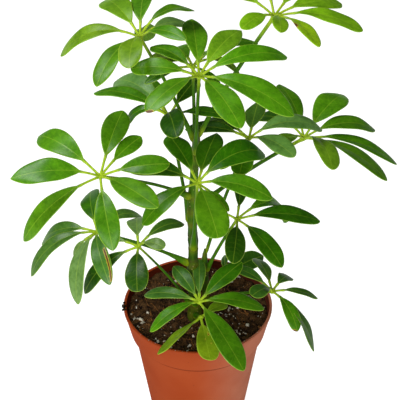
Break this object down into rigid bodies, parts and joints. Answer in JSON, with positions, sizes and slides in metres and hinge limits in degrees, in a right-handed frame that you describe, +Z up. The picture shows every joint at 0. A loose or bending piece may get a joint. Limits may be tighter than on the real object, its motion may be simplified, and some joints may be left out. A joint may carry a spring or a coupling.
{
  "type": "potted umbrella plant",
  "caption": "Young umbrella plant: compound leaves on long stalks, growing from soil in a tapered round nursery pot with a collar under its rim.",
  "frame": {"origin": "centre of the pot's flat foot, on the surface that it stands on", "axes": "+Z up along the pot's axis, -Y the side that the picture was taken from, +X to that view's right"},
  "size_m": [0.2482, 0.1766, 0.3235],
  "materials": {
    "pot": "terracotta-coloured plastic, satin",
    "soil": "damp potting mix",
    "stem": "green bark",
    "leaf": "glossy leaf"
  },
  "bodies": {
    "root": {"pot": "pot", "soil": "soil", "stem_main": "stem", "stem_side": "stem", "leaf_top_left": "leaf", "leaf_top_right": "leaf", "leaf_top_front": "leaf", "leaf_top_back": "leaf", "leaf_upper_left": "leaf", "leaf_left": "leaf", "leaf_front": "leaf", "leaf_right": "leaf", "leaf_right_inner": "leaf", "leaf_right_low": "leaf", "leaf_left_low": "leaf", "leaf_left_inner": "leaf", "leaf_soil_front": "leaf", "leaf_soil_small": "leaf", "leaf_rim_right": "leaf", "leaf_rim_back": "leaf"}
  },
  "joints": []
}
